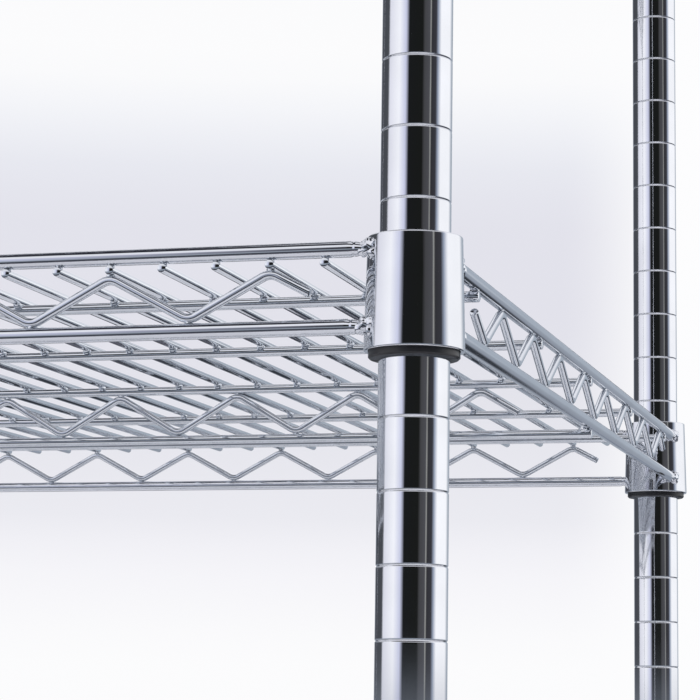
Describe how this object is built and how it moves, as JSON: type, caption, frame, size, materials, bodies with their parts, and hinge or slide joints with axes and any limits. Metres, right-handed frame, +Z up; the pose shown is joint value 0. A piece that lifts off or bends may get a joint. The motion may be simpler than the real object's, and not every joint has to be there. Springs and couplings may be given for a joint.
{
  "type": "wire shelving rack",
  "caption": "Free-standing chrome wire shelving rack: ring-grooved tubular posts, lift-off open wire shelves on split tapered sleeves, and levelling feet.",
  "frame": {"origin": "on the floor under the middle of the rack", "axes": "+Z up, X along the long side, -Y towards the front"},
  "size_m": [0.9154, 0.6104, 1.8125],
  "materials": {
    "post_chrome": "bright chrome plate on steel tube",
    "shelf_chrome": "bright chrome plate on steel",
    "wire_chrome": "bright chrome plate on drawn wire",
    "sleeve_plastic": "moulded black plastic",
    "cap_plastic": "moulded black plastic",
    "foot_steel": "zinc plated steel"
  },
  "bodies": {
    "posts": {"post_front_left": "post_chrome", "post_front_right": "post_chrome", "post_back_left": "post_chrome", "post_back_right": "post_chrome", "post_cap_front_left": "cap_plastic", "post_cap_front_right": "cap_plastic", "post_cap_back_left": "cap_plastic", "post_cap_back_right": "cap_plastic", "foot_insert_front_left": "foot_steel", "foot_insert_front_right": "foot_steel", "foot_insert_back_left": "foot_steel", "foot_insert_back_right": "foot_steel", "shelf_1_split_sleeves": "sleeve_plastic", "shelf_2_split_sleeves": "sleeve_plastic", "shelf_3_split_sleeves": "sleeve_plastic", "shelf_4_split_sleeves": "sleeve_plastic"},
    "shelf_1": {"shelf_1_collars": "shelf_chrome", "shelf_1_upper_rails": "shelf_chrome", "shelf_1_lower_rails": "shelf_chrome", "shelf_1_edge_zigzags": "wire_chrome", "shelf_1_deck_wires": "wire_chrome", "shelf_1_support_wires": "wire_chrome", "shelf_1_truss_zigzag": "wire_chrome", "shelf_1_truss_lower_wire": "wire_chrome"},
    "shelf_2": {"shelf_2_collars": "shelf_chrome", "shelf_2_upper_rails": "shelf_chrome", "shelf_2_lower_rails": "shelf_chrome", "shelf_2_edge_zigzags": "wire_chrome", "shelf_2_deck_wires": "wire_chrome", "shelf_2_support_wires": "wire_chrome", "shelf_2_truss_zigzag": "wire_chrome", "shelf_2_truss_lower_wire": "wire_chrome"},
    "shelf_3": {"shelf_3_collars": "shelf_chrome", "shelf_3_upper_rails": "shelf_chrome", "shelf_3_lower_rails": "shelf_chrome", "shelf_3_edge_zigzags": "wire_chrome", "shelf_3_deck_wires": "wire_chrome", "shelf_3_support_wires": "wire_chrome", "shelf_3_truss_zigzag": "wire_chrome", "shelf_3_truss_lower_wire": "wire_chrome"},
    "shelf_4": {"shelf_4_collars": "shelf_chrome", "shelf_4_upper_rails": "shelf_chrome", "shelf_4_lower_rails": "shelf_chrome", "shelf_4_edge_zigzags": "wire_chrome", "shelf_4_deck_wires": "wire_chrome", "shelf_4_support_wires": "wire_chrome", "shelf_4_truss_zigzag": "wire_chrome", "shelf_4_truss_lower_wire": "wire_chrome"},
    "pad_front_left": {"foot_pad_front_left": "cap_plastic"},
    "stem_front_left": {"foot_stem_front_left": "foot_steel"},
    "pad_front_right": {"foot_pad_front_right": "cap_plastic"},
    "stem_front_right": {"foot_stem_front_right": "foot_steel"},
    "pad_back_left": {"foot_pad_back_left": "cap_plastic"},
    "stem_back_left": {"foot_stem_back_left": "foot_steel"},
    "pad_back_right": {"foot_pad_back_right": "cap_plastic"},
    "stem_back_right": {"foot_stem_back_right": "foot_steel"}
  },
  "joints": [
    {"name": "shelf_1_lift", "type": "slide", "parent": "posts", "child": "shelf_1", "axis": [0, 0, 1], "range_m": [0, 0.06]},
    {"name": "shelf_2_lift", "type": "slide", "parent": "posts", "child": "shelf_2", "axis": [0, 0, 1], "range_m": [0, 0.06]},
    {"name": "shelf_3_lift", "type": "slide", "parent": "posts", "child": "shelf_3", "axis": [0, 0, 1], "range_m": [0, 0.06]},
    {"name": "shelf_4_lift", "type": "slide", "parent": "posts", "child": "shelf_4", "axis": [0, 0, 1], "range_m": [0, 0.06]},
    {"name": "foot_front_left_level", "type": "slide", "parent": "posts", "child": "pad_front_left", "axis": [0, 0, -1], "range_m": [0, 0.025]},
    {"name": "foot_front_left_turn", "type": "hinge", "parent": "pad_front_left", "child": "stem_front_left", "pos_m": [-0.44, -0.2875, 0.0126], "axis": [0, 0, 1], "range_deg": [-5760, 0]},
    {"name": "foot_front_right_level", "type": "slide", "parent": "posts", "child": "pad_front_right", "axis": [0, 0, -1], "range_m": [0, 0.025]},
    {"name": "foot_front_right_turn", "type": "hinge", "parent": "pad_front_right", "child": "stem_front_right", "pos_m": [0.44, -0.2875, 0.0126], "axis": [0, 0, 1], "range_deg": [-5760, 0]},
    {"name": "foot_back_left_level", "type": "slide", "parent": "posts", "child": "pad_back_left", "axis": [0, 0, -1], "range_m": [0, 0.025]},
    {"name": "foot_back_left_turn", "type": "hinge", "parent": "pad_back_left", "child": "stem_back_left", "pos_m": [-0.44, 0.2875, 0.0126], "axis": [0, 0, 1], "range_deg": [-5760, 0]},
    {"name": "foot_back_right_level", "type": "slide", "parent": "posts", "child": "pad_back_right", "axis": [0, 0, -1], "range_m": [0, 0.025]},
    {"name": "foot_back_right_turn", "type": "hinge", "parent": "pad_back_right", "child": "stem_back_right", "pos_m": [0.44, 0.2875, 0.0126], "axis": [0, 0, 1], "range_deg": [-5760, 0]}
  ],
  "couplings": [
    {"joint": "foot_front_left_turn", "follows": "foot_front_left_level", "rad_per_m": -3957.9},
    {"joint": "foot_front_right_turn", "follows": "foot_front_right_level", "rad_per_m": -3957.9},
    {"joint": "foot_back_left_turn", "follows": "foot_back_left_level", "rad_per_m": -3957.9},
    {"joint": "foot_back_right_turn", "follows": "foot_back_right_level", "rad_per_m": -3957.9}
  ]
}
